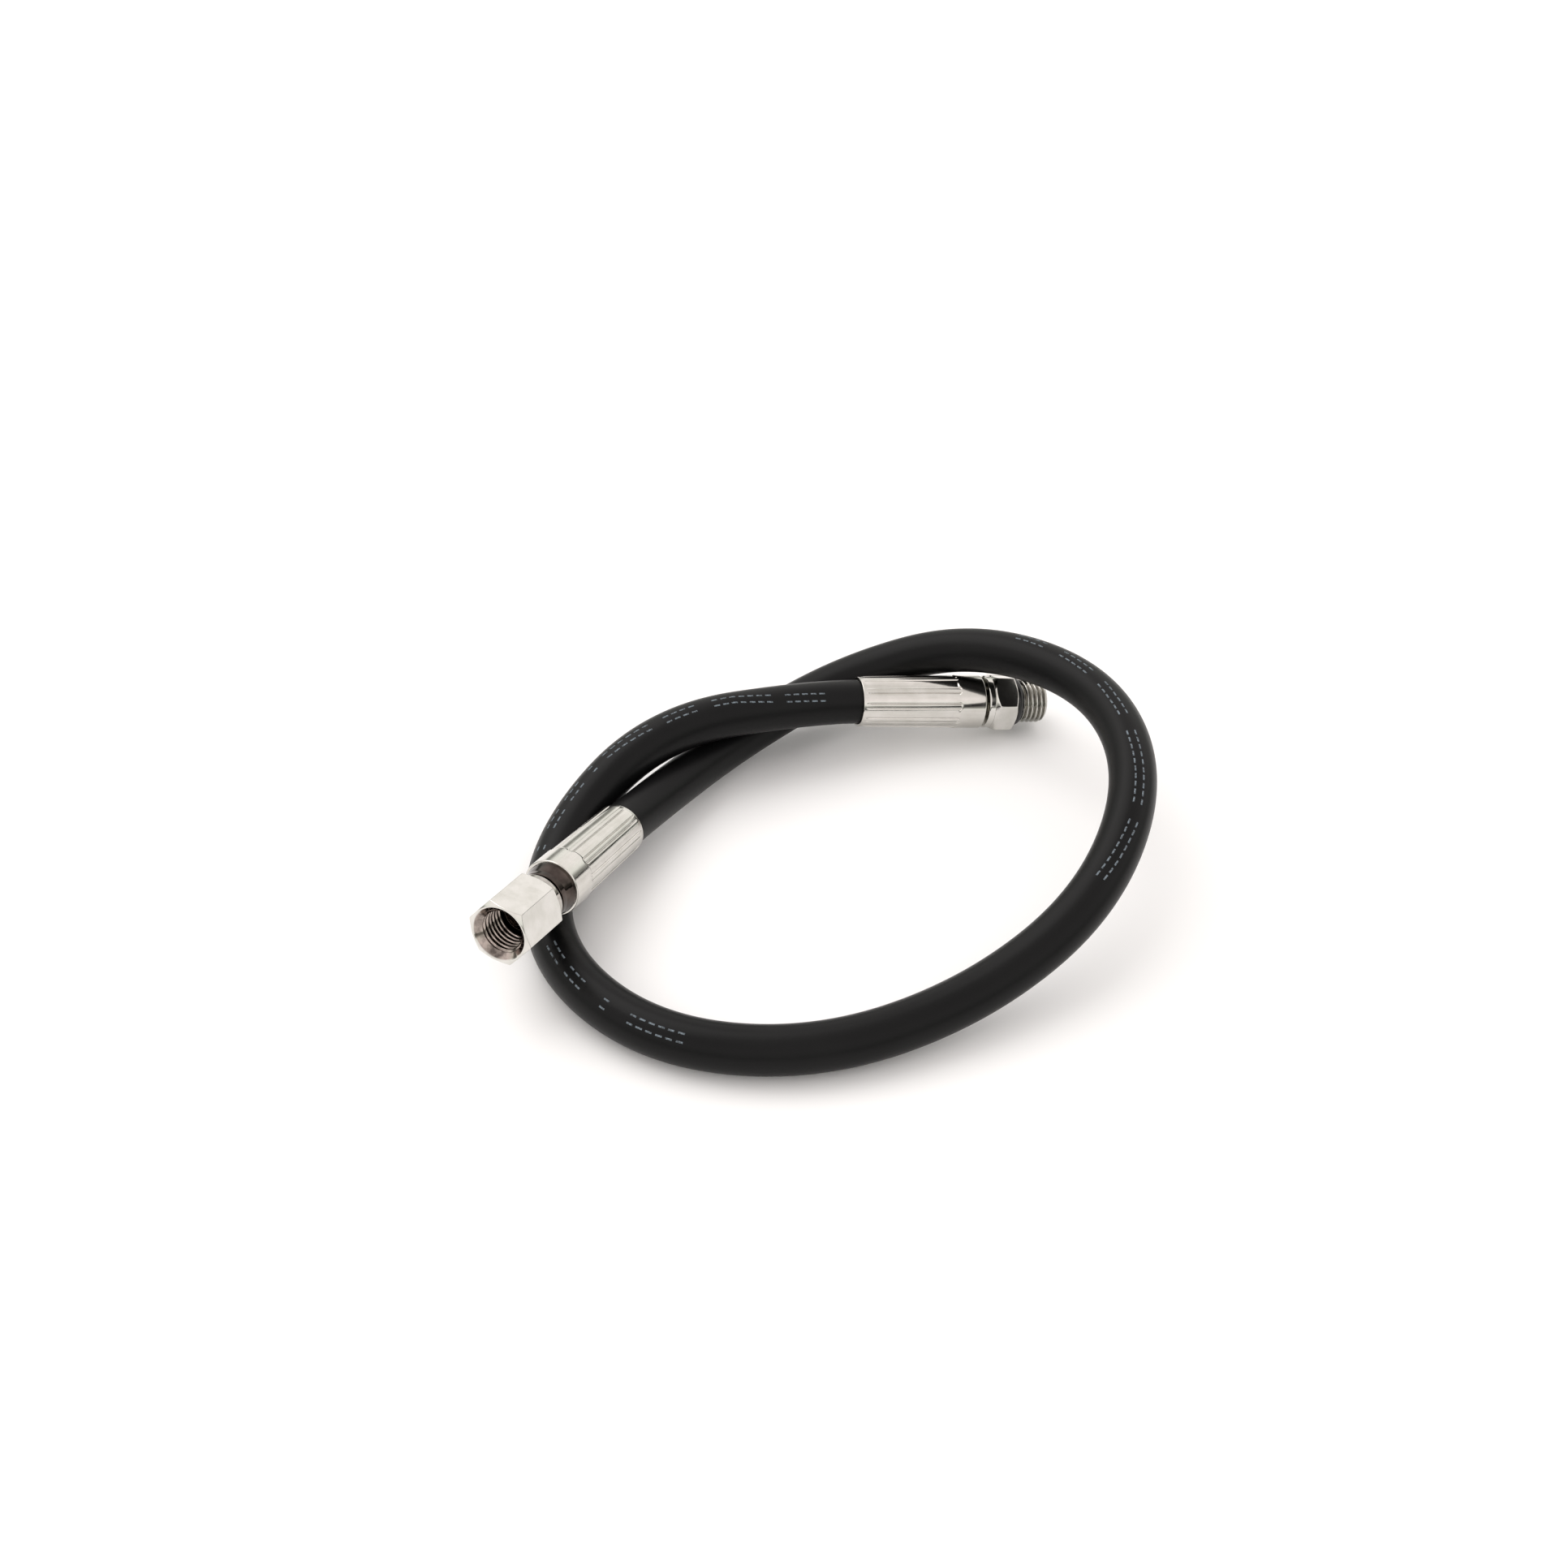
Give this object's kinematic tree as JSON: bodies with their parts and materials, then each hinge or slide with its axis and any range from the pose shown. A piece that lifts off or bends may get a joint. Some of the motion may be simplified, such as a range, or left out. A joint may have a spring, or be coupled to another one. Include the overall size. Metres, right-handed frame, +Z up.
{
  "type": "hydraulic hose assembly",
  "caption": "Black rubber high pressure hose lying in one loop, with a crimped swivel nut end and a crimped male thread end with an O-ring.",
  "frame": {"origin": "on the surface that the hose lies on, below the middle of the box around the two end fittings", "axes": "+Z up from the surface; +X points the way the male thread points, within 16 degrees; +Y points away from the open mouth of the swivel nut, within 28 degrees"},
  "size_m": [0.1597, 0.1439, 0.0343],
  "materials": {
    "cover_rubber": "satin",
    "tube_rubber": "matte",
    "braid_yarn": "woven",
    "plated_steel": "polished",
    "seal_rubber": "smooth"
  },
  "bodies": {
    "hose": {"hose_cover": "cover_rubber", "outer_braid": "braid_yarn", "tie_layer": "tube_rubber", "inner_braid": "braid_yarn", "inner_tube": "tube_rubber", "swivel_ferrule": "plated_steel", "swivel_stem": "plated_steel", "male_ferrule": "plated_steel", "male_stem": "plated_steel", "male_o_ring": "seal_rubber"},
    "nut": {"swivel_nut": "plated_steel"}
  },
  "joints": [
    {"name": "nut_spin", "type": "hinge", "parent": "hose", "child": "nut", "pos_m": [-0.05931, -0.0484, 0.02323], "axis": [-0.4013, -0.8895, 0.2186], "continuous": true}
  ]
}
